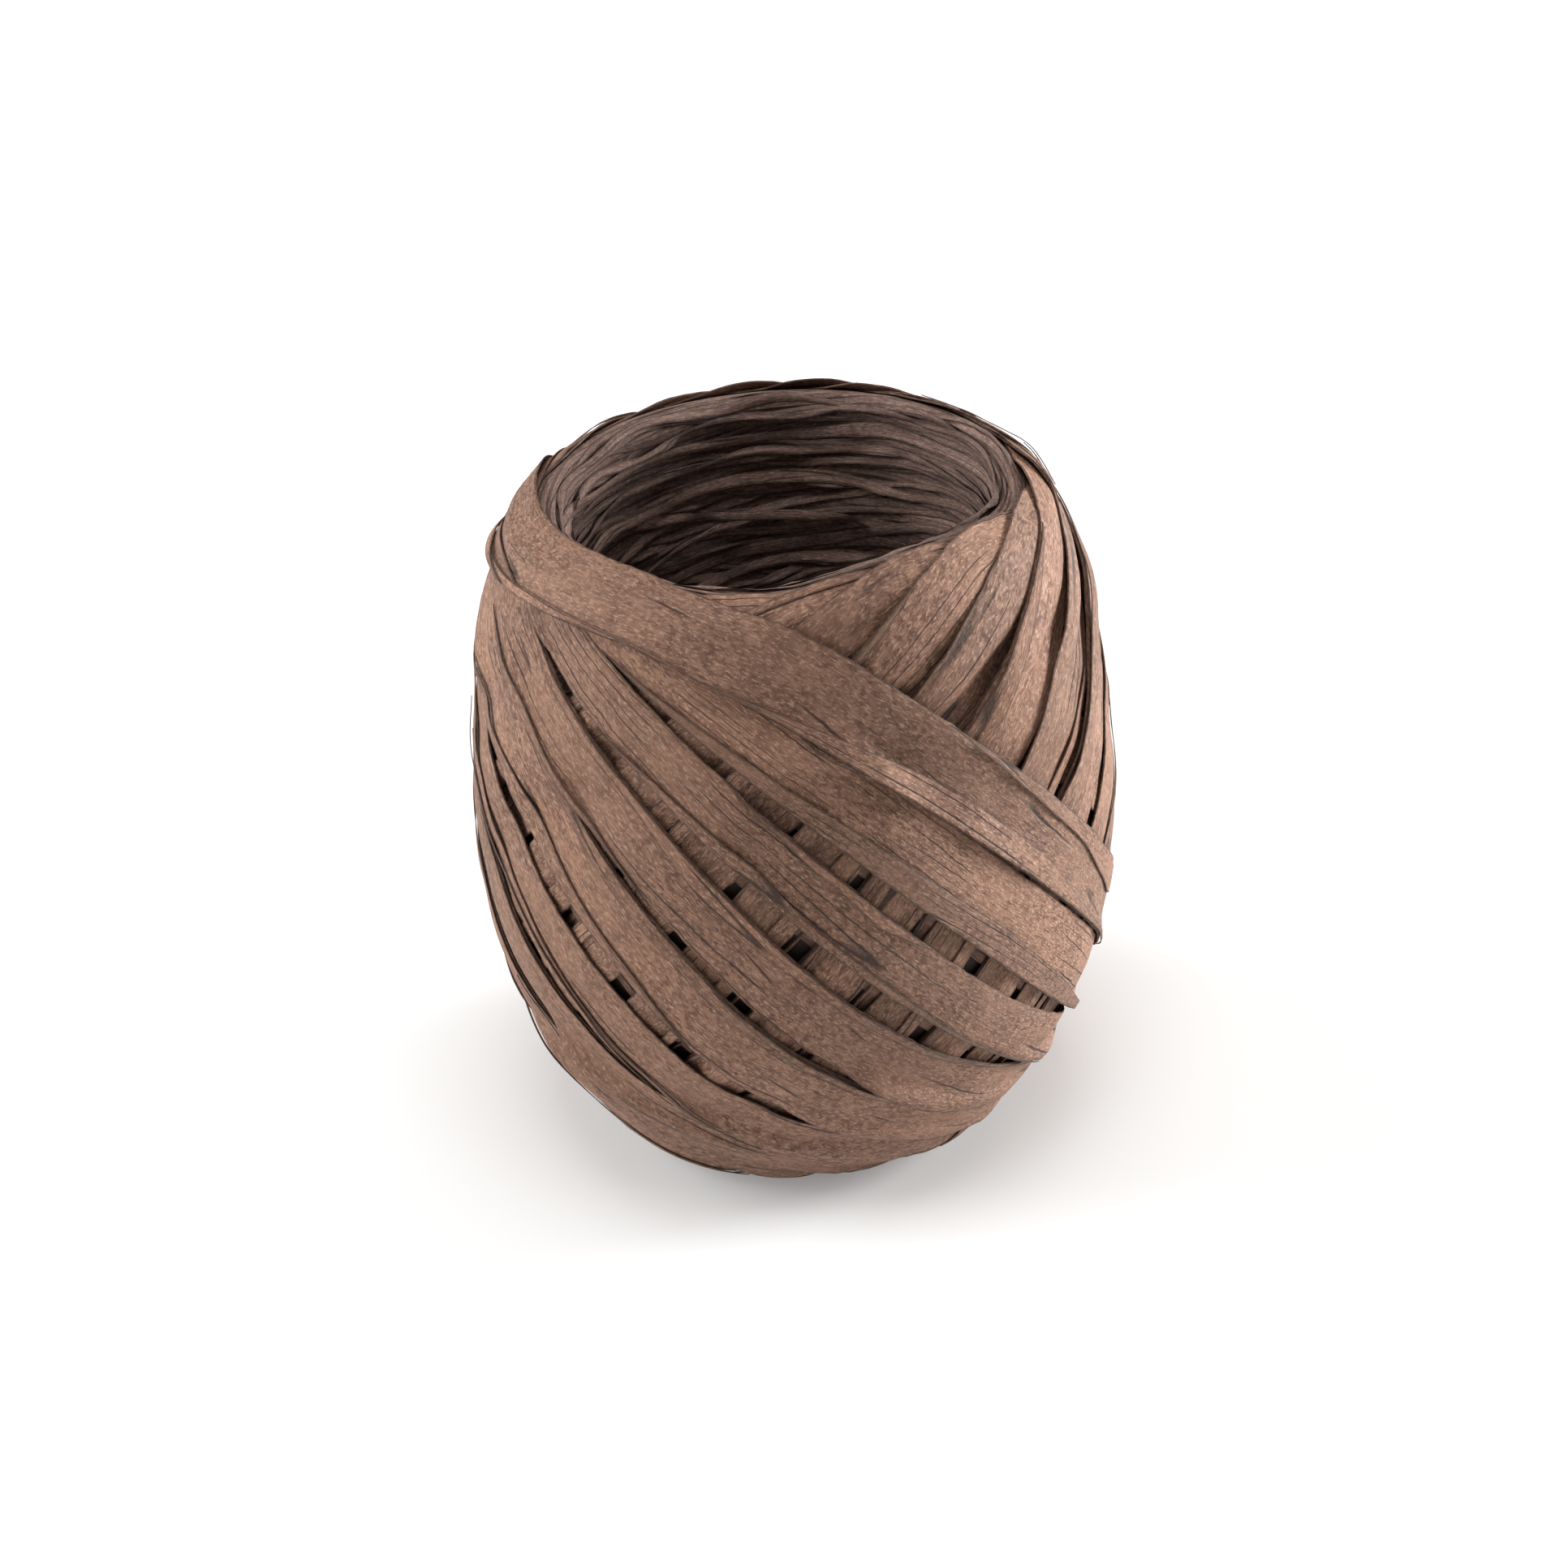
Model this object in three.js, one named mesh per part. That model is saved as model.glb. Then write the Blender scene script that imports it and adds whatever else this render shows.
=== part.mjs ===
// A ball of flat raffia ribbon, wound at a steady slant round a tapered mandrel that was then drawn out,
// so that an open core runs through it from end to end. It stands on the flat rim of its narrower end.
// Millimetres and degrees, +Z up, origin in the middle of the base. Azimuth is 0 at the front (-Y)
// and grows towards +X.
import * as THREE from "three";

// Driving sizes
const ballWidth = 70;
const ballHeight = 74;
const widestAt = 34; // height of the widest ring
const topShoulder = 53; // width of the ball where its side turns into the lip
const baseShoulder = 41; // width of the flat rim that it stands on
const sideFullness = 1.6; // 2 is an ellipse, less pulls the shoulders in
const coreTopWidth = 44;
const coreBaseWidth = 36;
const coreRipple = 0.3; // unevenness of the core's wall
const lipDip = 0.9; // the lip is this much lower where the newest turn crosses it
const lipDipSpread = 34; // angle round the lip taken up by the dip

// The winding
const windingSlant = 47.5; // each turn lies in a plane tilted this far from level
const windingMiddle = 37; // height where the tilted planes cross the ball's axis
const tightReach = 30; // within this angle of its highest and lowest points a turn bends tighter
const ribbonEdge = 0.4; // a turn's older edge stands this high on the turn laid before it
const ribbonCrown = 0.25; // height of the middle of a wide turn
const edgeAngle = 1.2; // angle round the ball taken up by the edge of a ribbon
const slitDepth = 1.0; // down to the crossing turns underneath
const slitEase = 12; // the slits run out over this height at the lip and at the foot

// Turns of the outer winding, from the newest to the oldest, as angles round the ball: bare is the
// part of a turn's width that the next newer turn leaves uncovered, slit the opening beyond it.
const newestEdge = -18; // azimuth of the highest point of the newest turn's upper edge
const turns = [
  { bare: 25, slit: 0 },
  { bare: 19.9, slit: 4.7 },
  { bare: 15.8, slit: 6 },
  { bare: 17.4, slit: 1.8 },
  { bare: 19.2, slit: 5 },
  { bare: 17.4, slit: 3.4 },
  { bare: 17.2, slit: 2.4 },
  { bare: 17.4, slit: 2.6 },
  { bare: 16.8, slit: 3.9 },
  { bare: 16, slit: 4.8 },
  { bare: 16.2, slit: 4 },
  { bare: 16.6, slit: 5.6 },
  { bare: 15.8, slit: 4.2 },
  { bare: 16.8, slit: 4.6 },
  { bare: 17.8, slit: 2.6 },
  { bare: 18.2, slit: 2.8 },
  { bare: 18.1, slit: 0 },
];
const wideTurn = 17; // a turn at least this wide is crowned along its middle
const wideSlit = 6; // a slit at least this wide has a flat floor

// Rings of the lip, the core and the foot, in order. out is measured from the core's wall outwards.
const ringSides = 56;
const endRings = [
  { out: 4.4, height: 73.5 },
  { out: 2.6, height: 74 },
  { out: 0.8, height: 73.6 },
  { out: 0, height: 72 },
  { out: 0, height: 54 },
  { out: 0, height: 37 },
  { out: 0, height: 19 },
  { out: 0, height: 1.2 },
  { out: 0.6, height: 0 },
  { out: 2.5, height: 0 },
  { out: 5.4, height: 1.3 },
];

const radians = THREE.MathUtils.degToRad;
const slope = Math.tan(radians(windingSlant));

// Radius of the smooth ball at a height.
function ballRadius(height) {
  const above = height >= widestAt;
  const reach = above ? ballHeight - widestAt : widestAt;
  const shoulder = (above ? topShoulder : baseShoulder) / 2;
  const share = Math.min(1, Math.abs(height - widestAt) / reach);
  return shoulder + (ballWidth / 2 - shoulder) * (1 - share ** 2) ** (1 / sideFullness);
}

// How far up a turn has climbed at an angle from its highest point: 1 at the top, -1 at the bottom.
function climb(angle) {
  const fromEnd = Math.min(angle, 180 - angle);
  const end = angle > 90 ? -1 : 1;
  const steady = Math.max(fromEnd, tightReach);
  const tight = radians(steady - fromEnd);
  return end * (Math.cos(radians(steady)) + tight * Math.sin(radians(tightReach)));
}

// Height of a turn on the ball's side, where its tilted plane meets the smooth ball.
function turnHeight(angle) {
  let low = 0;
  let high = ballHeight;
  for (let pass = 0; pass < 40; pass += 1) {
    const middle = (low + high) / 2;
    if (windingMiddle + slope * ballRadius(middle) * climb(angle) > middle) low = middle;
    else high = middle;
  }
  return (low + high) / 2;
}

// Lines that the turns draw on the ball, from the newest to the oldest: the edges of each turn, its
// crowned middle, the foot of the edge above and the floor of a slit. at is the azimuth of a line's
// highest point.
function windingLines() {
  const lines = [{ at: newestEdge, lift: ribbonEdge, onTurn: true }];
  let newerEdge = newestEdge;
  turns.forEach(({ bare, slit }, index) => {
    const olderEdge = newerEdge - bare;
    const last = index === turns.length - 1;
    if (bare >= wideTurn) {
      lines.push({ at: (newerEdge + olderEdge) / 2, lift: ribbonCrown + ribbonEdge / 2, onTurn: true });
    }
    if (last) {
      lines.push({ at: olderEdge + edgeAngle, lift: 0, onTurn: true });
      return;
    }
    lines.push({ at: olderEdge, lift: ribbonEdge, onTurn: true });
    newerEdge = olderEdge - slit;
    if (slit === 0) {
      lines.push({ at: olderEdge - edgeAngle, lift: 0, onTurn: true });
      return;
    }
    if (slit < wideSlit) {
      lines.push({ at: olderEdge - slit / 2, lift: 0, onTurn: false });
    } else {
      lines.push({ at: olderEdge - edgeAngle, lift: 0, onTurn: false });
      lines.push({ at: newerEdge + edgeAngle, lift: 0, onTurn: false });
    }
    lines.push({ at: newerEdge, lift: 0, onTurn: true });
  });
  return lines;
}

// Height of the surface over the smooth ball where the falling half of one line crosses the rising
// half of another. Above the newest turn rising halves lie uppermost, and below it falling ones.
function relief(falling, rising, risingOnTop) {
  const upper = risingOnTop ? rising : falling;
  const under = risingOnTop ? falling : rising;
  if (upper.onTurn) return upper.lift;
  return under.onTurn ? under.lift - slitDepth : -2 * slitDepth;
}

// The point where falling line row crosses the rising line that is step lines newer.
function sidePoint(lines, row, step) {
  const count = lines.length;
  const falling = lines[row];
  const rising = lines[(row - step + count) % count];
  const risingAt = rising.at + (step > row ? 360 : 0);
  const height = turnHeight((risingAt - falling.at) / 2);
  const toEnd = Math.min(turnHeight(0) - height, height - turnHeight(180));
  const raised = relief(falling, rising, step <= row);
  const ease = raised < 0 ? THREE.MathUtils.smoothstep(toEnd, 0, slitEase) : 1;
  return { azimuth: (risingAt + falling.at) / 2, radius: ballRadius(height) + raised * ease, height };
}

// A point of the lip, the core's wall or the foot.
function ringPoint({ out, height }, azimuth) {
  const share = height / ballHeight;
  const wall = THREE.MathUtils.lerp(coreBaseWidth, coreTopWidth, share) / 2;
  const ripple = coreRipple * Math.sin(Math.PI * share) * Math.sin(radians(3 * azimuth) + 8 * share);
  const fromDip = Math.abs(((azimuth - newestEdge + 540) % 360) - 180) / lipDipSpread;
  const dip = lipDip * (1 - THREE.MathUtils.smoothstep(fromDip, 0, 1)) * THREE.MathUtils.smoothstep(height, 60, 72);
  return { azimuth, radius: wall + out + ripple, height: height - dip };
}

// Triangles between an upper and a lower ring, each listed eastwards round the ball.
function joinRings(upper, lower, points, triangles) {
  const from = points[upper[0]].azimuth;
  const turned = (ring, index) => {
    const laps = Math.floor(index / ring.length);
    const lead = (((points[ring[index % ring.length]].azimuth - from) % 360) + 360) % 360;
    return lead + 360 * laps;
  };
  let start = 0;
  lower.forEach((point, index) => {
    if (turned(lower, index) < turned(lower, start)) start = index;
  });
  const shifted = [...lower.slice(start), ...lower.slice(0, start)];
  let above = 0;
  let below = 0;
  while (above < upper.length || below < shifted.length) {
    const a = upper[above % upper.length];
    const b = shifted[below % shifted.length];
    const stepAbove = below >= shifted.length
      || (above < upper.length && turned(upper, above + 1) <= turned(shifted, below + 1));
    if (stepAbove) {
      above += 1;
      triangles.push(a, b, upper[above % upper.length]);
    } else {
      below += 1;
      triangles.push(a, b, shifted[below % shifted.length]);
    }
  }
}

function woundBallGeometry() {
  const lines = windingLines();
  const count = lines.length;
  const points = [];
  const triangles = [];
  const addPoint = (point) => points.push(point) - 1;

  // The side is a net of falling lines crossed by rising lines.
  const side = lines.map((line, row) => {
    const along = [];
    for (let step = 0; step <= count; step += 1) along.push(addPoint(sidePoint(lines, row, step)));
    return along;
  });
  for (let row = 0; row < count; row += 1) {
    const here = side[row];
    const next = side[(row + 1) % count];
    triangles.push(here[0], next[0], next[1]);
    for (let step = 0; step < count - 1; step += 1) {
      triangles.push(here[step], next[step + 1], next[step + 2]);
      triangles.push(here[step], next[step + 2], here[step + 1]);
    }
    triangles.push(here[count - 1], next[count], here[count]);
  }

  // The lines' highest points make the ring under the lip, and their lowest points the one above the foot.
  const underLip = side.map((along) => along[0]).reverse();
  const aboveFoot = side.map((along) => along[count]).reverse();
  const rings = endRings.map((ring) => {
    const indices = [];
    for (let spoke = 0; spoke < ringSides; spoke += 1) {
      indices.push(addPoint(ringPoint(ring, newestEdge + (360 * spoke) / ringSides)));
    }
    return indices;
  });
  const loop = [...rings, aboveFoot];
  joinRings(rings[0], underLip, points, triangles);
  for (let index = 0; index + 1 < loop.length; index += 1) joinRings(loop[index + 1], loop[index], points, triangles);

  const positions = points.flatMap(({ azimuth, radius, height }) => [
    radius * Math.sin(radians(azimuth)),
    -radius * Math.cos(radians(azimuth)),
    height,
  ]);
  const geometry = new THREE.BufferGeometry();
  geometry.setAttribute("position", new THREE.Float32BufferAttribute(positions, 3));
  geometry.setIndex(triangles);
  geometry.computeVertexNormals();
  return geometry;
}

// Matt brown paper raffia.
const raffia = new THREE.MeshStandardMaterial({ color: 0x8c6c5a, roughness: 0.85, metalness: 0 });

const ball = new THREE.Mesh(woundBallGeometry(), raffia);
ball.name = "wound_ball";

const raffiaBall = new THREE.Group();
raffiaBall.add(ball);

export default raffiaBall;
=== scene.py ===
import math

import bpy
import numpy as np
from mathutils import Matrix


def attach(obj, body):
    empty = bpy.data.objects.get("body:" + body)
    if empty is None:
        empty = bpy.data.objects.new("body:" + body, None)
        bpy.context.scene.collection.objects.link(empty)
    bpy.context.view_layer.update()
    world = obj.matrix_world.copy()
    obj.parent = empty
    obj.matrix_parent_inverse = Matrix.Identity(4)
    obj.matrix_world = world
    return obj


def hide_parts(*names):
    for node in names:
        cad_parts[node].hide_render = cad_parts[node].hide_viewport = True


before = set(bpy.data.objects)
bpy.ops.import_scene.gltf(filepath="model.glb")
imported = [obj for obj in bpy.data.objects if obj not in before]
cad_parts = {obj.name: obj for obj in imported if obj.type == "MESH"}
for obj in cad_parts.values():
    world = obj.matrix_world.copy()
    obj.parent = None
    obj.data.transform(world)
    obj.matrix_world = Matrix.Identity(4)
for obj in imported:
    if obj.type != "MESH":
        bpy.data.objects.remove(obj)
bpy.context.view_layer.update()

mm = 0.001

# Azimuth is 0 at the front (-Y) and grows towards +X. Lengths are millimetres and angles degrees
# until a mesh is made.


# The ball's section: up the core's wall, over the lip, down the side and under the foot

ballShape = {
    "height": 74.0,
    "width": 70.0,
    "widestAt": 34.0,
    "topShoulder": 53.0,
    "baseShoulder": 37.6,
    "fullness": 1.6,
    "coreTop": 44.0,
    "coreBase": 36.0,
    "wallHeights": (0.9, 71.6, 60),  # from, to and how many
    "lip": [(22.15, 72.6), (22.8, 73.45), (24.0, 73.9), (25.5, 73.85), (27.0, 73.1)],
    "sideHeights": (72.0, 0.5, 150),
    "foot": [(20.4, 0.15), (19.4, 0.0), (18.5, 0.2)],
    "step": 0.25,
    "soften": 9,
    "floorGap": 0.03,
}


def sideRadius(height):
    above = height >= ballShape["widestAt"]
    reach = ballShape["height"] - ballShape["widestAt"] if above else ballShape["widestAt"]
    shoulder = (ballShape["topShoulder"] if above else ballShape["baseShoulder"]) / 2
    share = min(1.0, abs(height - ballShape["widestAt"]) / reach)
    return shoulder + (ballShape["width"] / 2 - shoulder) * (1 - share ** 2) ** (1 / ballShape["fullness"])


def coreRadius(height):
    share = height / ballShape["height"]
    return (ballShape["coreBase"] + (ballShape["coreTop"] - ballShape["coreBase"]) * share) / 2


def sectionLine():
    # way is measured along the section, 0 on top of the lip, negative in the core.
    wall = [(coreRadius(z), z) for z in np.linspace(*ballShape["wallHeights"])]
    side = [(sideRadius(z), z) for z in np.linspace(*ballShape["sideHeights"])]
    points = np.array(wall + ballShape["lip"] + side + ballShape["foot"])
    way = np.concatenate([[0], np.cumsum(np.hypot(*np.diff(points, axis=0).T))])
    even = np.arange(0, way[-1], ballShape["step"])
    radius = np.interp(even, way, points[:, 0])
    height = np.interp(even, way, points[:, 1])
    soften = np.hanning(ballShape["soften"])
    soften = soften / soften.sum()
    kept = ballShape["soften"] // 2
    radius[kept:-kept] = np.convolve(radius, soften, "valid")
    height[kept:-kept] = np.convolve(height, soften, "valid")
    outR, outZ = -np.gradient(height), np.gradient(radius)
    size = np.hypot(outR, outZ)
    top = even[np.argmax(height)]
    return {"way": even - top, "radius": radius, "height": height, "outR": outR / size, "outZ": outZ / size}


section = sectionLine()
firstWay = float(section["way"][0])
lastWay = float(section["way"][-1])
print(f"section runs from {firstWay:.1f} to {lastWay:.1f} mm")


def radiusAt(way):
    return np.interp(way, section["way"], section["radius"])


def heightAt(way):
    return np.interp(way, section["way"], section["height"])


# The lip isn't level: each bump is (azimuth, spread, rise), and it grows from a height over a height

lipShape = {
    "bumps": [(-44.0, 26.0, 0.9), (32.0, 34.0, 2.6), (-10.0, 14.0, -0.2), (150.0, 60.0, 0.3)],
    "from": 58,
    "over": 14,
}


def lipRise(azimuth, height):
    rise = np.zeros_like(azimuth)
    for middle, spread, size in lipShape["bumps"]:
        away = (azimuth - middle + 180) % 360 - 180
        rise += size * np.exp(-(away / spread) ** 2)
    return rise * np.clip((height - lipShape["from"]) / lipShape["over"], 0, 1) ** 2


def placeOn(azimuth, way, lift):
    radius = radiusAt(way) + np.interp(way, section["way"], section["outR"]) * lift
    height = heightAt(way) + np.interp(way, section["way"], section["outZ"]) * lift
    height = height + lipRise(azimuth, height)
    turned = np.radians(azimuth)
    height = np.maximum(height, ballShape["floorGap"])
    return np.stack([radius * np.sin(turned), -radius * np.cos(turned), height], -1)


# How far the winding has grown, on a chart of the section unrolled round the ball

growth = {"columns": 900, "cell": 0.28}
growth["rows"] = int((lastWay - firstWay) / growth["cell"]) + 2
grown = np.zeros((growth["rows"], growth["columns"]))


def chartCells(azimuth, way):
    column = (azimuth % 360) / 360 * growth["columns"]
    row = np.clip((way - firstWay) / growth["cell"], 0, growth["rows"] - 1.001)
    return row, column


def readChart(chart, azimuth, way):
    row, column = chartCells(azimuth, way)
    row0, column0 = row.astype(int), column.astype(int)
    rowPart, columnPart = row - row0, column - column0
    column0 = column0 % growth["columns"]
    column1 = (column0 + 1) % growth["columns"]
    upper = chart[row0, column0] * (1 - columnPart) + chart[row0, column1] * columnPart
    lower = chart[row0 + 1, column0] * (1 - columnPart) + chart[row0 + 1, column1] * columnPart
    return upper * (1 - rowPart) + lower * rowPart


def writeGrown(azimuth, way, lift):
    row, column = chartCells(azimuth, way)
    for rowUp in (0, 1):
        for columnUp in (0, 1):
            rows = row.astype(int) + rowUp
            columns = (column.astype(int) + columnUp) % growth["columns"]
            np.maximum.at(grown, (rows, columns), lift)


def gather(values, reach, axis, loop, pick):
    # The highest of each value's neighbours, or their soft mean, round a loop or held at the ends.
    out, total = None, 0
    for step in range(-reach, reach + 1):
        if loop:
            moved = np.roll(values, step, axis)
        else:
            index = np.clip(np.arange(values.shape[axis]) - step, 0, values.shape[axis] - 1)
            moved = np.take(values, index, axis)
        if pick == "highest":
            out = moved if out is None else np.maximum(out, moved)
            continue
        weight = math.exp(-2 * (step / (reach + 1)) ** 2)
        out = moved * weight if out is None else out + moved * weight
        total += weight
    return out if pick == "highest" else out / total


def wander(count, waves, rng, loop=True):
    # A smooth random line between about -1 and 1.
    along = np.linspace(0, 1, count, endpoint=not loop)
    line = np.zeros(count)
    for wave in range(1, waves + 1):
        line += rng.normal() / math.sqrt(wave) * np.sin(2 * math.pi * (wave * along + rng.random()))
    return line / 1.8  # about the largest that the waves add up to


# A ribbon is laid over what is already wound, and kept until the winding is whole

ribbons = []
leastGap = 0.03


def asideOf(azimuth, way):
    # Unit steps square to a path that runs once round the ball, towards larger way.
    run = np.radians((np.roll(azimuth, -1) - np.roll(azimuth, 1) + 180) % 360 - 180) * radiusAt(way)
    fall = np.roll(way, -1) - np.roll(way, 1)
    size = np.hypot(run, fall)
    return -fall / size, run / size


def ribbonPoints(azimuth, way, aside, near, far, across):
    share = np.linspace(0, 1, across)
    offset = near[:, None] * (1 - share) + far[:, None] * share
    halfWay = way[:, None] + offset * aside[1][:, None] / 2
    azimuths = azimuth[:, None] + np.degrees(offset * aside[0][:, None] / radiusAt(halfWay))
    return azimuths, way[:, None] + offset * aside[1][:, None]


def layRibbon(name, azimuths, ways, relief, lay):
    # It bridges what is narrow and follows what is wide, and never sinks into what lies under it.
    under = readChart(grown, azimuths, ways)
    over = gather(under, lay["bridge"], 0, lay["loop"], "highest")
    over = gather(over, lay["stiff"], 0, lay["loop"], "mean")
    over = gather(over, lay["bridgeAcross"], 1, False, "highest")
    over = gather(over, lay["stiffAcross"], 1, False, "mean")
    lift = np.maximum(over, under + leastGap) + lay["thickness"] + lay["clearance"] + relief
    writeGrown(azimuths, ways, lift)
    ribbons.append({"name": name, "azimuth": azimuths, "way": ways, "lift": lift, "loop": lay["loop"],
                    "length": lay["length"], "width": lay["width"], "tone": lay["tone"],
                    "faces": lay["faces"]})


# Narrow, crumpled strands, nearly level: a lining and then looser ones on the core's wall, wound
# first, and a few that run along the rim

strandLook = {
    "tiltTowards": 40.0,
    "tiltScatter": 55,
    "along": 720,
    "across": 9,
    "thickness": 0.1,
    "stray": 0.7,
    "pinch": 0.3,
    "halfWidths": (0.25, 1.8),
    "crown": 0.1,
    "twist": 0.14,
    "pleat": 0.1,
    "pleatLength": 8,
    "pleatColumns": [0, 0, 1, 1, 1, 1, 1, 2, 2],  # which pleat each point across belongs to
    "patternRadius": 21,  # the paper's pattern is scaled for a loop of this size
    "patternWidth": 2.4,
}
coreLining = {"name": "lining", "count": 74, "width": (2.4, 3.2), "tilt": 1.0, "lowest": -75.0,
              "highest": 1.5, "faces": (110, 3), "seed": 3}
footLining = {"name": "lining", "count": 9, "width": (2.4, 3.2), "tilt": 0.5, "lowest": 75.0,
              "highest": 83.0, "faces": (110, 3), "seed": 4}
coreStrands = {"name": "strand", "count": 270, "width": (0.6, 1.5), "tilt": 6.0, "lowest": -75.0,
               "highest": 0.4, "faces": (150, 3), "seed": 11}
rimStrands = {"name": "rim", "count": 24, "width": (0.6, 1.3), "tilt": 2.0, "lowest": -12.0,
              "highest": -2.4, "faces": (160, 3), "seed": 8}


def windStrands(strands):
    rng = np.random.default_rng(strands["seed"])
    along, across = strandLook["along"], strandLook["across"]
    azimuth = np.linspace(0, 360, along, endpoint=False)
    lowest = max(strands["lowest"], firstWay + 2.0)
    highest = strands["highest"]
    share = np.linspace(-1, 1, across)[None, :]
    for middle in rng.permutation(np.linspace(lowest, highest, strands["count"])):
        towards = strandLook["tiltTowards"] + strandLook["tiltScatter"] * rng.normal()
        tilt = min(strands["tilt"] * (0.35 + 0.65 * rng.random()), middle - lowest, highest - middle)
        way = middle + tilt * np.cos(np.radians(azimuth - towards))
        way = way + strandLook["stray"] * wander(along, 9, rng)
        half = rng.uniform(*strands["width"]) / 2 * (1 + strandLook["pinch"] * wander(along, 9, rng))
        half = np.clip(half, *strandLook["halfWidths"])
        azimuths, ways = ribbonPoints(azimuth, way, asideOf(azimuth, way), -half, half, across)
        relief = strandLook["crown"] * (1 - share ** 2) * (1 + 0.5 * wander(along, 16, rng))[:, None]
        relief = relief + strandLook["twist"] * share * wander(along, 6, rng)[:, None]
        pleats = rng.normal(size=(along // strandLook["pleatLength"], 3))
        pleats = gather(pleats.repeat(strandLook["pleatLength"], axis=0), 6, 0, True, "mean")
        relief = relief + strandLook["pleat"] * np.take(pleats, strandLook["pleatColumns"], axis=1)
        lay = {"bridge": 5, "stiff": 5, "bridgeAcross": 1, "stiffAcross": 1, "loop": True,
               "clearance": 0.05, "thickness": strandLook["thickness"],
               "length": 2 * math.pi * strandLook["patternRadius"], "width": strandLook["patternWidth"],
               "tone": rng.random(), "faces": strands["faces"]}
        layRibbon(strands["name"], azimuths, ways, relief, lay)


windStrands(coreLining)
windStrands(footLining)
windStrands(coreStrands)
print("core wound:", len(ribbons), "strands")


# The turns of the outer winding, the newest first. phase is the azimuth of a turn's highest point,
# rise how far up its tilted plane is moved, spread how much later it starts to climb, gather how much
# its half width changes at its highest point, and riseFlare how much on its way up to it. Each fold
# (edge, reach, from, to, peak) is a part of the ribbon turned over on itself: from which edge, what
# share of the width, from where to where as shares of the turn past its highest point, and how far
# along the fold it is widest.

outerTurns = [
    {"phase": -41.5, "rise": 5.8, "width": 8.7, "spread": 36, "tighten": 0, "overLip": 2.2, "gather": -0.3,
     "riseFlare": 0.5,
     "folds": [(1, 0.3, 0.06, 0.38, 0.4), (-1, 0.35, 0.16, 0.42, 0.7), (1, 0.6, -0.3, -0.03, 0.45)]},
    {"phase": -57.0, "rise": 3.0, "width": 9.4, "spread": 30, "overLip": 2.4, "gather": -1.5,
     "riseFlare": 0.5, "folds": [(1, 0.4, 0.05, 0.42, 0.6)]},
    {"phase": -77.0, "rise": 1.0, "width": 7.0, "gather": -0.9, "folds": [(1, 0.2, 0.1, 0.4, 0.3)]},
    {"phase": -99.0, "rise": 0.6, "width": 7.8, "gather": -0.7, "folds": [(-1, 0.22, 0.05, 0.4, 0.5)]},
    {"phase": -118.2, "rise": 0.0, "width": 8.3,
     "folds": [(-1, 0.2, 0.06, 0.46, 0.6), (1, 0.3, 0.1, 0.3, 0.4)]},
    {"phase": -141.5, "rise": 0.0, "width": 7.3, "folds": [(1, 0.3, 0.1, 0.4, 0.3)]},
    {"phase": -162.2, "rise": 0.0, "width": 7.2, "folds": [(-1, 0.4, 0.2, 0.6, 0.7)]},
    {"phase": -181.9, "rise": 0.3, "width": 7.3, "folds": [(-1, 0.4, 0.1, 0.5, 0.5)]},
    {"phase": -201.6, "rise": 0.0, "width": 7.2, "folds": [(1, 0.3, 0.5, 0.9, 0.3)]},
    {"phase": -222.0, "rise": 0.4, "width": 7.1, "folds": [(-1, 0.4, 0.55, 0.95, 0.6)]},
    {"phase": -242.8, "rise": -0.2, "width": 7.2, "folds": [(1, 0.3, 0.6, 0.95, 0.3)]},
    {"phase": -263.2, "rise": 0.2, "width": 7.4, "folds": [(-1, 0.3, 0.6, 0.95, 0.7)]},
    {"phase": -285.0, "rise": 0.0, "width": 7.0, "folds": [(1, 0.35, 0.65, 1.0, 0.4)]},
    {"phase": -305.5, "rise": 0.3, "width": 7.5, "folds": [(-1, 0.3, 0.6, 0.95, 0.5)]},
    {"phase": -327.4, "rise": -0.3, "width": 7.9, "folds": [(1, 0.4, 0.6, 0.98, 0.6)]},
    {"phase": -348.0, "rise": 0.0, "width": 8.1, "folds": [(-1, 0.4, 0.6, 0.95, 0.3)]},
    {"phase": -369.2, "rise": 0.0, "width": 8.3, "folds": [(1, 0.4, 0.65, 0.98, 0.5)]},
]

winding = {
    "slant": 47.5,
    "middle": 37.0,
    "tighten": 0.128,
    "tightReach": 24.0,
    "overLip": 1.5,
    "underFoot": 0.4,
    "trim": 0.15,
    "soften": 1.2,
    "sway": 0.15,
    "fray": 0.06,
    "pinch": 0.12,
    "ripple": 0.03,
    "flare": 0.45,
    "riseFlare": 1.35,
    "footFlare": -0.6,
    "along": 900,
    "across": 29,
    "thickness": 0.16,
    "clearance": 0.1,
    "crown": 0.12,
    "curl": 0.5,
    "curlFrom": 0.8,
    "bridge": 12,
    "faces": (280, 13),
    "seed": 5,
}

# Parts of an outer turn that are folded over, and slivers split off at random along its edges
foldLook = {"inset": 0.1, "taper": 0.75, "uneven": 0.3, "across": 13, "clearance": 0.06, "thickness": 0.12,
            "paper": 0.1, "faces": (90, 3)}
slivers = {"each": 2, "length": (0.08, 0.22), "reach": (0.1, 0.2)}

# One layer of turns under the outer ones, close to them but not in step
underTurns = {"drift": -1.0, "driftScatter": 0.6, "rise": 0.3, "riseScatter": 0.5, "trim": 0.9,
              "widthScatter": 0.3, "endScatter": 1.5, "faces": (180, 5)}

# Thin strands that run along with the turns and dip inside the lip
rimLoops = {"count": 16, "width": (0.8, 1.4), "inside": (2.5, 7.0), "bridge": 5, "paper": 0.08,
            "faces": (220, 2)}


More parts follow.
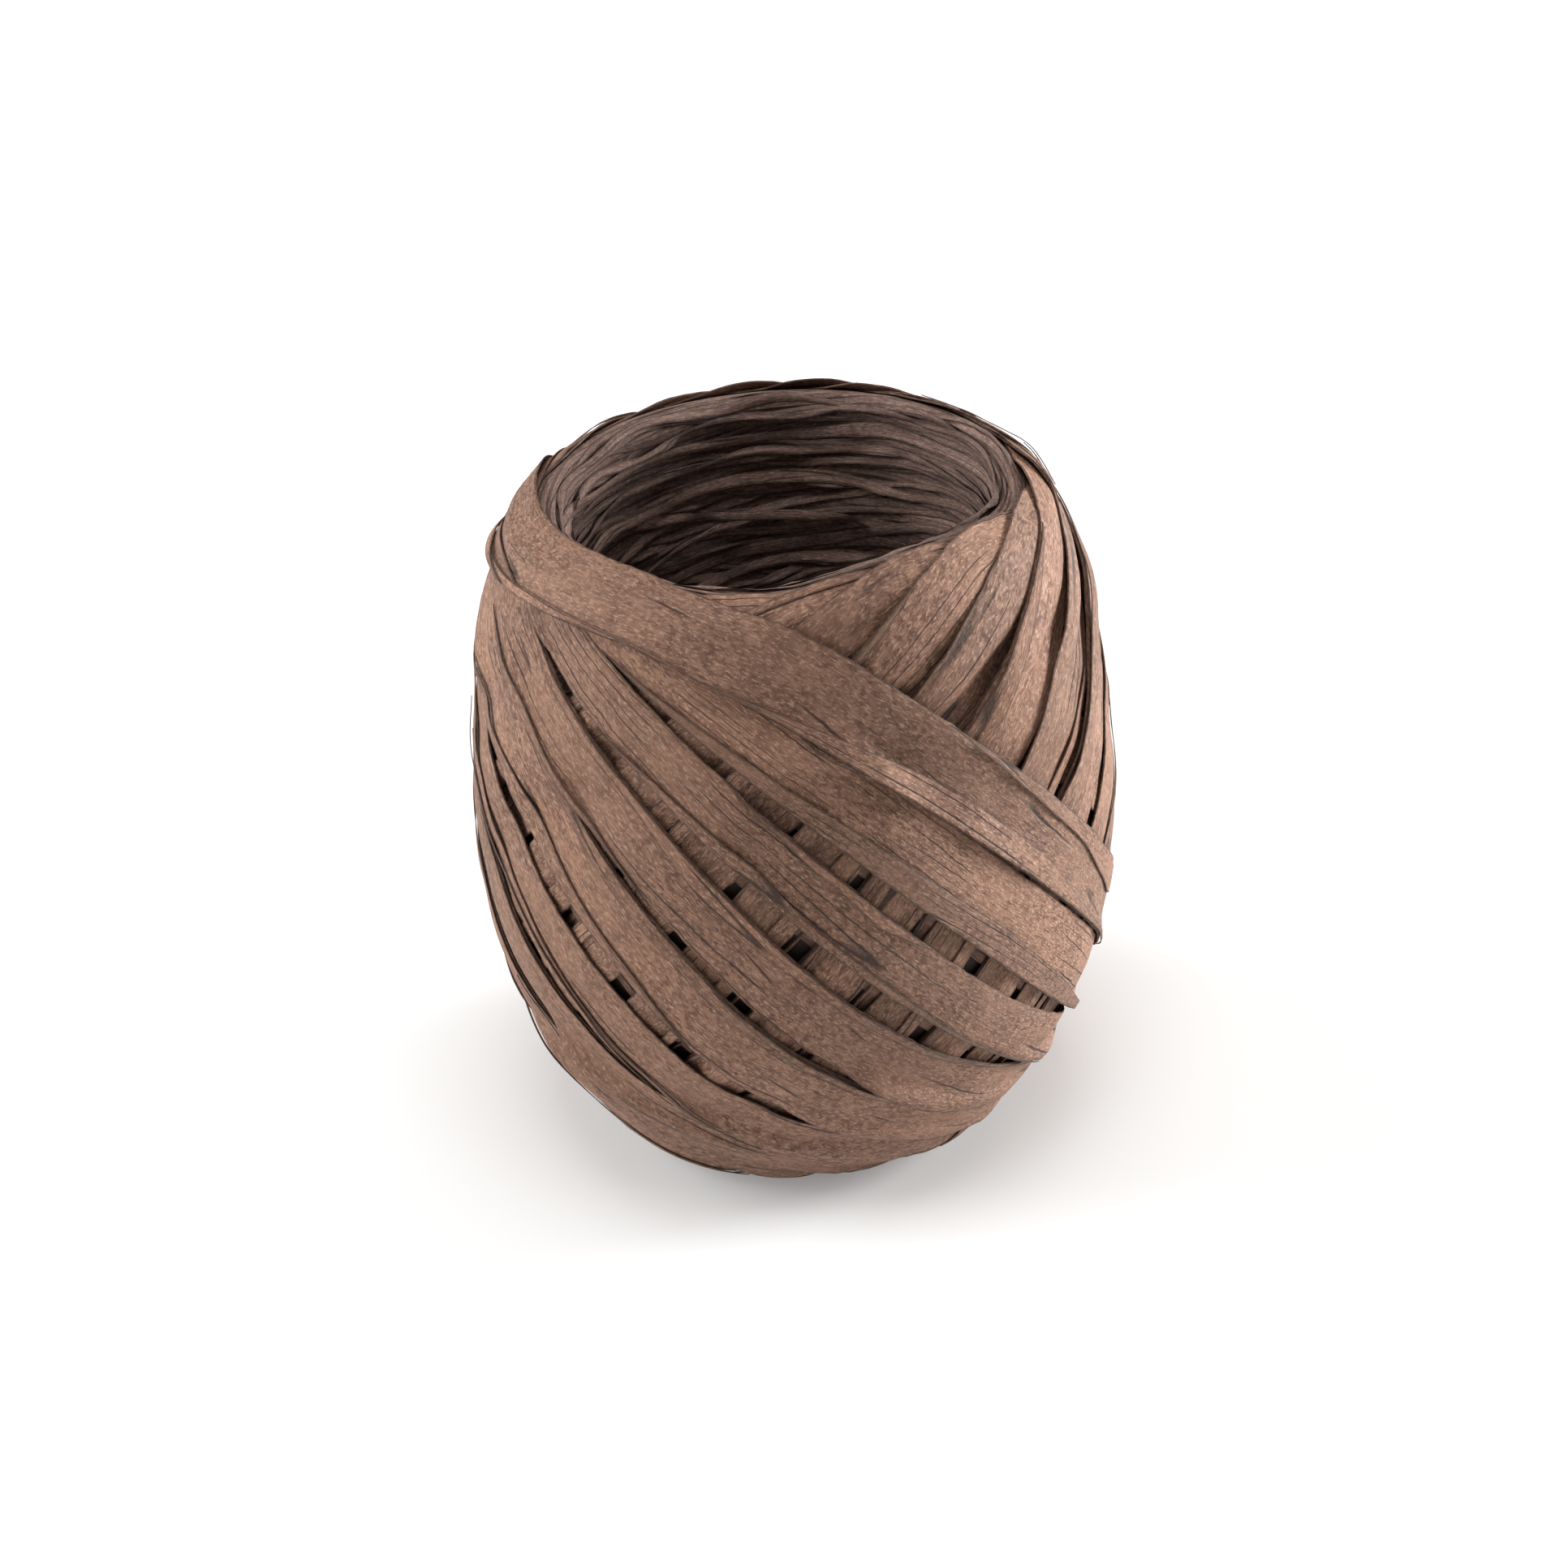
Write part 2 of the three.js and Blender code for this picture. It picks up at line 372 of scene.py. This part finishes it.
def turnPath(turn, count):
    # Where the turn's tilted plane meets the ball, at even steps along the turn. It bends tighter at
    # its highest and lowest points, and there it runs along the lip and the foot.
    slope = math.tan(math.radians(winding["slant"]))
    angle = np.linspace(-180, 180, 1441)  # 0 at the highest point, four steps to a degree
    fromEnd = np.minimum(np.abs(angle), 180 - np.abs(angle))
    tighten = turn.get("tighten", winding["tighten"]) * np.exp(-(fromEnd / winding["tightReach"]) ** 2)
    climb = np.cos(np.radians(angle)) + np.where(np.abs(angle) < 90, tighten, -tighten)
    low = np.full_like(angle, -9.0)  # a little inside the lip
    high = np.full_like(angle, lastWay)
    for _ in range(36):  # halved until they meet
        middle = (low + high) / 2
        plane = winding["middle"] + turn["rise"] + slope * radiusAt(middle) * climb
        above = heightAt(middle) + np.maximum(0, -middle) > plane
        low = np.where(above, middle, low)
        high = np.where(above, high, middle)
    way = (low + high) / 2
    highest = turn["width"] / 2 - turn.get("overLip", winding["overLip"])
    lowest = lastWay - turn.get("underFoot", winding["underFoot"]) - turn["width"] / 2
    soften = winding["soften"]
    # It bends softly where it reaches its highest and lowest places on the section.
    way = highest + np.logaddexp(0, (way - highest) * soften) / soften
    way = lowest - np.logaddexp(0, (lowest - way) * soften) / soften
    # A turn with a spread falls behind on its way up the back, and catches up near its highest point.
    ramp = np.clip((180 + angle) / 110, 0, 1)
    late = turn.get("spread", 0) * np.clip(-angle / 30, 0, 1) * ramp ** 2 * (3 - 2 * ramp)
    azimuth = turn["phase"] + angle - late
    run = np.radians(np.diff(azimuth)) * radiusAt((way[1:] + way[:-1]) / 2)
    length = np.concatenate([[0], np.cumsum(np.hypot(run, np.diff(way)))])
    even = np.linspace(0, length[-1], count, endpoint=False)
    azimuth = gather(np.interp(even, length, azimuth - angle)[:, None], 12, 0, True, "mean")[:, 0]
    way = gather(np.interp(even, length, way)[:, None], 6, 0, True, "mean")[:, 0]
    angle = np.interp(even, length, angle)
    return azimuth + angle, way, np.radians(angle), length[-1]


def halfWidth(turn, name, angle, rng):
    # Half the width along a turn: outer turns flare on their way up, and all change round their ends.
    climb = np.cos(angle)
    flare = np.where(climb > 0, turn.get("gather", winding["flare"]), winding["footFlare"]) * climb ** 2
    if name == "outer":
        rising = np.clip(-np.sin(angle), 0, 1) * np.clip(climb, 0, 1)
        flare = flare + turn.get("riseFlare", winding["riseFlare"]) * rising
    return turn["width"] / 2 - winding["trim"] + winding["pinch"] * wander(len(angle), 5, rng) + flare


def splitSlivers(rng):
    folds = []
    for _ in range(slivers["each"]):
        first = rng.random()
        last = first + rng.uniform(*slivers["length"])
        folds.append((rng.choice([-1, 1]), rng.uniform(*slivers["reach"]), first, last, rng.random()))
    return folds


def windTurn(turn, name, rng, bridge, faces):
    along, across = winding["along"], winding["across"]
    azimuth, way, angle, length = turnPath(turn, along)
    aside = asideOf(azimuth, way)
    sway = winding["sway"] * wander(along, 4, rng)
    fray = winding["fray"] * gather(rng.normal(size=(along, 2)), 1, 0, True, "mean")
    half = halfWidth(turn, name, angle, rng)
    near, far = sway - half + fray[:, 0], sway + half + fray[:, 1]
    azimuths, ways = ribbonPoints(azimuth, way, aside, near, far, across)
    share = np.linspace(-1, 1, across)[None, :]
    relief = winding["crown"] * (1 - share ** 2) + winding["ripple"] * wander(along, 24, rng)[:, None]
    for side in (-1, 1):
        curl = np.clip(wander(along, 7, rng) - 0.3, 0, 1)[:, None]  # here and there
        relief = relief + winding["curl"] * curl * np.clip(side * share - winding["curlFrom"], 0, 1)
    lay = {"bridge": bridge, "stiff": bridge, "bridgeAcross": 3, "stiffAcross": 3, "loop": True,
           "clearance": winding["clearance"], "thickness": winding["thickness"], "length": length,
           "width": turn["width"], "tone": rng.random(), "faces": faces}
    layRibbon(name, azimuths, ways, relief, lay)
    if name != "outer":
        return
    for edge, reach, first, last, peak in turn["folds"] + splitSlivers(rng):
        # The path starts at the turn's lowest point, half a turn from where the folds are measured.
        index = (np.arange(int(first * along), int(last * along)) + along // 2) % along
        share = np.linspace(0, 1, len(index))
        grow = np.minimum(share / max(peak, 0.05), (1 - share) / max(1 - peak, 0.05)) ** foldLook["taper"]
        uneven = 1 + foldLook["uneven"] * wander(len(index), 3, rng, False)
        outer = edge * (half[index] - foldLook["inset"])
        inner = outer - edge * half[index] * 2 * reach * grow * uneven
        near, far = (inner, outer) if edge > 0 else (outer, inner)
        place = (aside[0][index], aside[1][index])
        foldAzimuths, foldWays = ribbonPoints(azimuth[index], way[index], place, near + sway[index],
                                              far + sway[index], foldLook["across"])
        foldLay = dict(lay, bridge=4, stiff=6, bridgeAcross=1, stiffAcross=1, loop=False,
                       clearance=foldLook["clearance"], thickness=foldLook["thickness"],
                       length=length * (last - first), width=turn["width"] * reach, tone=rng.random(),
                       faces=foldLook["faces"])
        layRibbon("fold", foldAzimuths, foldWays, np.zeros_like(foldWays), foldLay)


def windUnderTurn(turn, rng):
    under = {
        "phase": turn["phase"] + underTurns["drift"] + underTurns["driftScatter"] * rng.normal(),
        "rise": turn["rise"] * underTurns["rise"] + underTurns["riseScatter"] * rng.normal(),
        "width": turn["width"] - underTurns["trim"] + underTurns["widthScatter"] * rng.normal(),
        "overLip": winding["overLip"] - underTurns["endScatter"] * rng.random(),
        "underFoot": winding["underFoot"] + underTurns["endScatter"] * rng.random(),
    }
    windTurn(under, "under", rng, winding["bridge"], underTurns["faces"])


def windRimLoop(rng):
    loop = {
        "phase": rng.uniform(0, 360),
        "rise": rng.normal(),
        "width": rng.uniform(*rimLoops["width"]),
        "overLip": rng.uniform(*rimLoops["inside"]),
        "underFoot": 2.0,
        "gather": 0.0,
    }
    windTurn(loop, "loop", rng, rimLoops["bridge"], rimLoops["faces"])


def windBall():
    rng = np.random.default_rng(winding["seed"])
    for turn in reversed(outerTurns):
        windUnderTurn(turn, rng)
    windStrands(rimStrands)
    for _ in range(rimLoops["count"]):
        windRimLoop(rng)
    for turn in reversed(outerTurns):
        windTurn(turn, "outer", rng, winding["bridge"], winding["faces"])


windBall()
print("ball wound:", len(ribbons), "ribbons in all")


# The finished winding is set back so that its outside lies on the section

settle = {
    "level": 4,
    "reachWay": 26,
    "reachRound": 32,
    "coreWay": 10,
    "coreRound": 14,
    "coreFade": (5.0, 20.0),
    "ease": ([-6, -2, 3, 12, 68, 79], [0.32, 0.25, 0.3, 0.9, 0.9, 0.15]),
    "inset": 0.3,
}


def settledGrowth():
    # The core's wall and the lip are pressed more evenly than the outside.
    level = gather(grown.mean(axis=1, keepdims=True), settle["level"], 0, False, "mean")
    smooth = gather(grown - level, settle["reachWay"], 0, False, "mean")
    smooth = gather(smooth, settle["reachRound"], 1, True, "mean")
    pressed = gather(grown - level, settle["coreWay"], 0, False, "mean")
    pressed = gather(pressed, settle["coreRound"], 1, True, "mean")
    way = firstWay + np.arange(growth["rows"])[:, None] * growth["cell"]
    first, last = settle["coreFade"]
    inside = 1 - np.clip((way - first) / (last - first), 0, 1)
    return level + smooth * (1 - inside) + pressed * inside


settled = settledGrowth()


def settleLift(azimuth, way, lift):
    # Near the surface it stays as wound; far above and below, the layers are pressed together.
    above = lift - readChart(settled, azimuth, way) - settle["inset"]
    ease = np.interp(way, *settle["ease"])
    return ease * np.arcsinh(above / ease)


def edgeDistance(ribbon, pick):
    # Millimetres to the ribbon's nearer edge, straight across it.
    ends = (pick[0], [[0, -1]])
    azimuth, way = ribbon["azimuth"][ends], ribbon["way"][ends]
    turned = (azimuth[:, 1:] - azimuth[:, :1] + 180) % 360 - 180
    span = np.hypot(np.radians(turned) * radiusAt(way[:, :1]), way[:, 1:] - way[:, :1])
    share = pick[1] / (ribbon["lift"].shape[1] - 1)
    return span * np.minimum(share, 1 - share)


def ribbonMesh(ribbon):
    alongFaces, acrossFaces = ribbon["faces"]
    count, across = ribbon["lift"].shape
    if ribbon["loop"]:
        alongIndex = np.round(np.linspace(0, count, alongFaces + 1)).astype(int) % count
    else:
        alongIndex = np.round(np.linspace(0, count - 1, alongFaces + 1)).astype(int)
    acrossIndex = np.round(np.linspace(across - 1, 0, acrossFaces + 1)).astype(int)
    pick = np.ix_(alongIndex, acrossIndex)
    lift = settleLift(ribbon["azimuth"][pick], ribbon["way"][pick], ribbon["lift"][pick])
    points = placeOn(ribbon["azimuth"][pick], ribbon["way"][pick], lift) * mm

    bpy.ops.mesh.primitive_grid_add(x_subdivisions=alongFaces, y_subdivisions=acrossFaces, size=1)
    piece = bpy.context.object
    mesh = piece.data
    flat = np.zeros(len(mesh.vertices) * 3)
    mesh.vertices.foreach_get("co", flat)
    flat = flat.reshape(-1, 3)
    column = np.round((flat[:, 0] + 0.5) * alongFaces).astype(int)
    row = np.round((flat[:, 1] + 0.5) * acrossFaces).astype(int)
    mesh.vertices.foreach_set("co", points[column, row].ravel())

    # The pattern runs along the ribbon, in centimetres from a place of its own.
    place = np.zeros(len(mesh.loops) * 2)
    layer = mesh.uv_layers.active
    layer.name = "ribbon"
    layer.uv.foreach_get("vector", place)
    place = place.reshape(-1, 2) * [ribbon["length"] / 10, ribbon["width"] / 10]
    place += [ribbon["tone"] * 97.0 % 13, ribbon["tone"] * 331.0 % 7]
    layer.uv.foreach_set("vector", place.ravel())
    tone = mesh.attributes.new("tone", "FLOAT", "POINT")
    tone.data.foreach_set("value", np.full(len(mesh.vertices), ribbon["tone"]))
    # The distance to the edge sets where painted shade is laid along each edge
    edge = mesh.attributes.new("edge", "FLOAT", "POINT")
    edge.data.foreach_set("value", edgeDistance(ribbon, pick)[column, row].ravel())
    piece.select_set(False)
    return piece


sharpestBend = 50  # degrees, above which an edge isn't smoothed


def joinRibbons(name, members, thickness):
    # Ribbons without a thickness stay single sheets, because only their faces show.
    bpy.ops.object.select_all(action="DESELECT")
    pieces = [ribbonMesh(ribbon) for ribbon in members]
    for piece in pieces:
        piece.select_set(True)
    bpy.context.view_layer.objects.active = pieces[0]
    bpy.ops.object.join()
    whole = bpy.context.object
    whole.name = name
    bpy.ops.object.mode_set(mode="EDIT")
    bpy.ops.mesh.select_all(action="SELECT")
    bpy.ops.mesh.remove_doubles(threshold=1e-7)
    bpy.ops.object.mode_set(mode="OBJECT")
    if thickness:
        solidify = whole.modifiers.new("paper", "SOLIDIFY")
        solidify.thickness = thickness * mm
        solidify.offset = -1
        bpy.ops.object.modifier_apply(modifier=solidify.name)
    bpy.ops.object.shade_smooth_by_angle(angle=math.radians(sharpestBend))
    whole.select_set(False)
    print(name, "has", len(whole.data.polygons), "faces")
    return whole


def membersOf(name):
    return [ribbon for ribbon in ribbons if ribbon["name"] == name]


# The oldest are wound first, and the many strands and turns are shared between two pieces each
olderCount = 9
firstStrands = 105

outer = membersOf("outer")
newRibbon = joinRibbons("newest_turns", outer[olderCount:], winding["thickness"])
outerRibbon = joinRibbons("older_turns", outer[:olderCount], winding["thickness"])
foldRibbon = joinRibbons("ribbon_folds", membersOf("fold"), foldLook["paper"])
underRibbon = joinRibbons("under_turns", membersOf("under"), 0)
loopRibbon = joinRibbons("rim_loops", membersOf("loop"), rimLoops["paper"])
coreMembers = membersOf("strand")
strandRibbon = joinRibbons("core_strands_low", coreMembers[:firstStrands], 0)
upperStrandRibbon = joinRibbons("core_strands_high", coreMembers[firstStrands:] + membersOf("rim"), 0)
liningRibbon = joinRibbons("core_lining", membersOf("lining"), 0)


# Behind the ribbons, the packed inside of the winding

# It is painted nearly black further down, as painted shade in the gaps between turns
packedInside = {"sides": 120, "rings": 170, "depth": 0.35}


def makePackedInside():
    sides, rings = packedInside["sides"], packedInside["rings"]
    bpy.ops.mesh.primitive_grid_add(x_subdivisions=sides, y_subdivisions=rings, size=1)
    inside = bpy.context.object
    inside.name = "packed_inside"
    flat = np.zeros(len(inside.data.vertices) * 3)
    inside.data.vertices.foreach_get("co", flat)
    flat = flat.reshape(-1, 3)
    azimuth = (flat[:, 0] + 0.5) * 360
    share = (0.5 - flat[:, 1]) % 1.0
    way = firstWay + share * (lastWay - firstWay)
    lift = settleLift(azimuth, way, -packedInside["depth"])
    inside.data.vertices.foreach_set("co", (placeOn(azimuth, way, lift) * mm).ravel())
    bpy.ops.object.mode_set(mode="EDIT")
    bpy.ops.mesh.select_all(action="SELECT")
    bpy.ops.mesh.remove_doubles(threshold=1e-6)
    bpy.ops.mesh.normals_make_consistent(inside=False)
    bpy.ops.object.mode_set(mode="OBJECT")
    bpy.ops.object.shade_smooth()
    inside.select_set(False)
    return inside


insideBody = makePackedInside()


# Materials

def newGroup(name, inputs, outputs):
    group = bpy.data.node_groups.new(name, "ShaderNodeTree")
    for label, kind, value in inputs:
        socket = group.interface.new_socket(label, in_out="INPUT", socket_type=kind)
        socket.default_value = value
    for label, kind in outputs:
        group.interface.new_socket(label, in_out="OUTPUT", socket_type=kind)
    return group, group.nodes.new("NodeGroupInput"), group.nodes.new("NodeGroupOutput")


def addNode(tree, kind, **settings):
    node = tree.nodes.new(kind)
    for key, value in settings.items():
        setattr(node, key, value)
    return node


def paperFibreGroup():
    group, given, result = newGroup(
        "paper fibre",
        [("Base", "NodeSocketColor", (0.3, 0.18, 0.12, 1)),
         ("Pale", "NodeSocketColor", (0.5, 0.35, 0.25, 1)),
         ("Dark", "NodeSocketColor", (0.14, 0.08, 0.05, 1)),
         ("PaintedShadeColor", "NodeSocketColor", (0.06, 0.03, 0.02, 1)),
         ("Tone", "NodeSocketFloat", 0.5),
         ("Edge", "NodeSocketFloat", 1.0),
         ("Mottle", "NodeSocketFloat", 0.5),
         ("Flecks", "NodeSocketFloat", 0.3),
         ("PaintedShadeAmount", "NodeSocketFloat", 0.5)],
        [("Color", "NodeSocketColor"), ("Height", "NodeSocketFloat"), ("Roughness", "NodeSocketFloat")],
    )
    link = group.links.new
    place = addNode(group, "ShaderNodeUVMap", uv_map="ribbon")

    def noise(stretch, scale, detail, rough, shift=0.0):
        mapping = addNode(group, "ShaderNodeMapping")
        mapping.inputs["Scale"].default_value = stretch
        mapping.inputs["Location"].default_value = (shift, shift * 0.7, 0)
        link(place.outputs["UV"], mapping.inputs["Vector"])
        texture = addNode(group, "ShaderNodeTexNoise", noise_dimensions="2D")
        texture.inputs["Scale"].default_value = scale
        texture.inputs["Detail"].default_value = detail
        texture.inputs["Roughness"].default_value = rough
        link(mapping.outputs["Vector"], texture.inputs["Vector"])
        return texture.outputs["Fac"]

    def ranged(value, low, high, outLow=0.0, outHigh=1.0):
        node = addNode(group, "ShaderNodeMapRange", clamp=True)
        labels = ("From Min", "From Max", "To Min", "To Max")
        for label, number in zip(labels, (low, high, outLow, outHigh)):
            node.inputs[label].default_value = number
        link(value, node.inputs["Value"])
        return node.outputs["Result"]

    def maths(kind, first, second):
        node = addNode(group, "ShaderNodeMath", operation=kind)
        for socket, value in zip(node.inputs, (first, second)):
            if isinstance(value, (int, float)):
                socket.default_value = value
            else:
                link(value, socket)
        return node.outputs["Value"]

    def blend(amount, first, second):
        node = addNode(group, "ShaderNodeMix", data_type="RGBA")
        link(amount, node.inputs["Factor"])
        link(first, node.inputs["A"])
        link(second, node.inputs["B"])
        return node.outputs["Result"]

    streaks = noise((1.0, 9.0, 1.0), 3.0, 5, 0.6)       # fibres along the ribbon
    mottle = noise((1.0, 1.9, 1.0), 9.0, 5, 0.75)       # cloudy pulp
    patches = noise((1.0, 2.6, 1.0), 2.4, 3, 0.6, 21.0)  # uneven dye
    clouds = noise((1.0, 2.0, 1.0), 0.55, 4, 0.6)       # the paper's smoother and rougher lengths
    flecks = noise((1.0, 4.0, 1.0), 13.0, 3, 0.65, 4.0)  # short pale fibres
    bent = noise((0.05, 1.7, 1.0), 1.0, 0, 0.5, 9.0)    # its even steps are long creases, painted as thin lines of shade
    broken = noise((0.5, 1.2, 1.0), 1.0, 2, 0.5, 15.0)  # where the painted crease shade stops

    amount = maths("MULTIPLY", ranged(mottle, 0.44, 0.6), given.outputs["Mottle"])
    amount = maths("MULTIPLY", amount, ranged(clouds, 0.42, 0.58, 0.5, 1.15))
    color = blend(amount, given.outputs["Base"], given.outputs["Dark"])
    color = blend(ranged(patches, 0.44, 0.66, 0.0, 0.5), color, given.outputs["Dark"])
    color = blend(ranged(streaks, 0.5, 0.7, 0.0, 0.5), color, given.outputs["Dark"])
    fleck = maths("MULTIPLY", ranged(flecks, 0.54, 0.66), given.outputs["Flecks"])
    color = blend(fleck, color, given.outputs["Pale"])
    # Thin dark lines along the creases: painted shade, standing in for the shadow inside each crease
    paintedCreaseShade = ranged(maths("PINGPONG", bent, 0.06), 0.002, 0.008, 1.0, 0.0)
    paintedCreaseShade = maths("MULTIPLY", paintedCreaseShade, ranged(broken, 0.46, 0.54))
    # A thin band along each ribbon's edge is darkened: painted shade standing in for the shadow each edge
    # casts, joined with the painted crease shade
    edge = maths("ADD", given.outputs["Edge"], maths("MULTIPLY", streaks, 0.3))
    line = maths("MAXIMUM", paintedCreaseShade, ranged(edge, 0.14, 0.36, 0.9, 0.0))
    color = blend(maths("MULTIPLY", line, given.outputs["PaintedShadeAmount"]), color, given.outputs["PaintedShadeColor"])
    bright = addNode(group, "ShaderNodeHueSaturation")
    link(ranged(given.outputs["Tone"], 0.0, 1.0, 0.86, 1.12), bright.inputs["Value"])
    link(color, bright.inputs["Color"])
    link(bright.outputs["Color"], result.inputs["Color"])

    height = maths("ADD", maths("MULTIPLY", streaks, 0.4), maths("MULTIPLY", mottle, 0.5))
    height = maths("ADD", height, maths("MULTIPLY", flecks, 0.2))
    height = maths("SUBTRACT", height, maths("MULTIPLY", line, 0.5))
    link(height, result.inputs["Height"])
    link(ranged(mottle, 0.35, 0.65, 0.62, 0.82), result.inputs["Roughness"])
    return group


paperFibre = paperFibreGroup()


def paperMaterial(name, look):
    material = bpy.data.materials.new(name)
    material.use_nodes = True
    tree = material.node_tree
    shader = tree.nodes["Principled BSDF"]
    fibre = addNode(tree, "ShaderNodeGroup", node_tree=paperFibre)
    tone = addNode(tree, "ShaderNodeAttribute", attribute_name="tone")
    edge = addNode(tree, "ShaderNodeAttribute", attribute_name="edge")
    tree.links.new(tone.outputs["Fac"], fibre.inputs["Tone"])
    tree.links.new(edge.outputs["Fac"], fibre.inputs["Edge"])
    for label in ("Base", "Pale", "Dark", "PaintedShadeColor"):
        fibre.inputs[label].default_value = (*look[label], 1)
    for label in ("Mottle", "Flecks", "PaintedShadeAmount"):
        fibre.inputs[label].default_value = look[label]
    bump = addNode(tree, "ShaderNodeBump")
    bump.inputs["Strength"].default_value = look["Bump"]
    bump.inputs["Distance"].default_value = look["Depth"] * mm
    tree.links.new(fibre.outputs["Height"], bump.inputs["Height"])
    tree.links.new(fibre.outputs["Color"], shader.inputs["Base Color"])
    tree.links.new(fibre.outputs["Roughness"], shader.inputs["Roughness"])
    tree.links.new(bump.outputs["Normal"], shader.inputs["Normal"])
    shader.inputs["Specular IOR Level"].default_value = look["Specular"]
    return material


raffiaLook = {
    "Base": (0.275, 0.144, 0.091),
    "Pale": (0.46, 0.29, 0.2),
    "Dark": (0.115, 0.053, 0.032),
    "PaintedShadeColor": (0.03, 0.014, 0.009),
    "Mottle": 0.85,
    "Flecks": 0.7,
    "PaintedShadeAmount": 0.88,
    "Bump": 0.9,
    "Depth": 0.3,
    "Specular": 0.4,
}
# The turns under the outer ones use the same paper painted darker: painted shade for turns that lie in the
# outer ones' shadow
underTurnShadeLook = dict(raffiaLook, Base=(0.2, 0.112, 0.075), Pale=(0.3, 0.19, 0.135), Dark=(0.1, 0.05, 0.032),
                Mottle=0.5, Flecks=0.4, PaintedShadeAmount=0.35)
coreLook = dict(raffiaLook, Base=(0.215, 0.13, 0.1), Pale=(0.38, 0.265, 0.21), Dark=(0.1, 0.056, 0.043),
                PaintedShadeAmount=0.7)
# The packed inside is painted nearly black: painted shade showing in the deep gaps between turns, not the
# paper's own colour
insideShadeLook = dict(raffiaLook, Base=(0.02, 0.012, 0.01), Pale=(0.03, 0.018, 0.014), Dark=(0.015, 0.009, 0.007))

raffia = paperMaterial("raffia paper", raffiaLook)
shadedRaffia = paperMaterial("raffia paper, inner turns, painted shade", underTurnShadeLook)
coreRaffia = paperMaterial("raffia paper, core", coreLook)
paintedShadeInside = paperMaterial("packed inside, painted shade", insideShadeLook)


def dress(piece, material):
    piece.data.materials.clear()
    piece.data.materials.append(material)
    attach(piece, "root")


dress(newRibbon, raffia)
dress(outerRibbon, raffia)
dress(foldRibbon, raffia)
dress(underRibbon, shadedRaffia)
dress(loopRibbon, raffia)
dress(strandRibbon, coreRaffia)
dress(upperStrandRibbon, coreRaffia)
dress(liningRibbon, coreRaffia)
dress(insideBody, paintedShadeInside)
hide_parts("wound_ball")
print("pieces dressed")


# Floor, light and camera

studio = {
    "floorSize": 6.0,
    "floor": (0.68, 0.68, 0.672),
    "floorGlow": 0.19,
    "floorBounce": 0.26,
    "sky": 0.19,
    "lights": [
        {"name": "left softbox", "at": (-0.9, 0.1, 0.42), "size": 0.7, "power": 12.0},
        {"name": "right softbox", "at": (0.8, 0.2, 0.18), "size": 0.35, "power": 13.0},
        {"name": "top softbox", "at": (0.02, -0.12, 1.1), "size": 0.6, "power": 7.5},
    ],
    "elevation": 31.154,
    "distance": 350.0,
    "lens": 73.563,
    "roll": -3.25,
    "shift": (-0.00699, 0.00388),
    "sensor": 36,
    "cameraAim": 0.037,
    "lightAim": 0.04,
}


def makeFloor():
    bpy.ops.object.select_all(action="DESELECT")
    bpy.ops.mesh.primitive_plane_add(size=studio["floorSize"], location=(0, 0, 0))
    floor = bpy.context.object
    floor.name = "floor"
    material = bpy.data.materials.new("pale floor")
    material.use_nodes = True
    shader = material.node_tree.nodes["Principled BSDF"]
    shader.inputs["Base Color"].default_value = (*studio["floor"], 1)
    shader.inputs["Roughness"].default_value = 0.9
    shader.inputs["Specular IOR Level"].default_value = 0.1
    shader.inputs["Emission Color"].default_value = (1, 1, 1, 1)
    rays = addNode(material.node_tree, "ShaderNodeLightPath")
    glow = addNode(material.node_tree, "ShaderNodeMapRange")
    glow.inputs["To Min"].default_value = studio["floorBounce"]
    glow.inputs["To Max"].default_value = studio["floorGlow"]
    material.node_tree.links.new(rays.outputs["Is Camera Ray"], glow.inputs["Value"])
    material.node_tree.links.new(glow.outputs["Result"], shader.inputs["Emission Strength"])
    floor.data.materials.append(material)


def makeLight():
    world = bpy.data.worlds.new("studio")
    bpy.context.scene.world = world
    world.use_nodes = True
    background = world.node_tree.nodes["Background"]
    background.inputs["Color"].default_value = (1, 1, 1, 1)
    background.inputs["Strength"].default_value = studio["sky"]
    for given in studio["lights"]:
        bpy.ops.object.light_add(type="AREA", location=given["at"])
        light = bpy.context.object
        light.name = given["name"]
        light.data.size = given["size"]
        light.data.energy = given["power"]
        towards = -light.location.copy()
        towards.z += studio["lightAim"]
        light.rotation_euler = towards.to_track_quat("-Z", "Y").to_euler()


def makeCamera():
    rise = math.radians(studio["elevation"])
    reach = studio["distance"] * mm
    height = studio["cameraAim"] + reach * math.sin(rise)
    bpy.ops.object.camera_add(location=(0, -reach * math.cos(rise), height))
    camera = bpy.context.object
    camera.name = "camera"
    roll = Matrix.Rotation(math.radians(studio["roll"]), 3, "Z")
    camera.rotation_euler = (Matrix.Rotation(math.pi / 2 - rise, 3, "X") @ roll).to_euler()
    camera.data.lens = studio["lens"]
    camera.data.sensor_width = studio["sensor"]
    camera.data.shift_x, camera.data.shift_y = studio["shift"]
    bpy.context.scene.camera = camera


makeFloor()
makeLight()
makeCamera()
bpy.context.scene.view_settings.view_transform = "Standard"
print("studio ready")
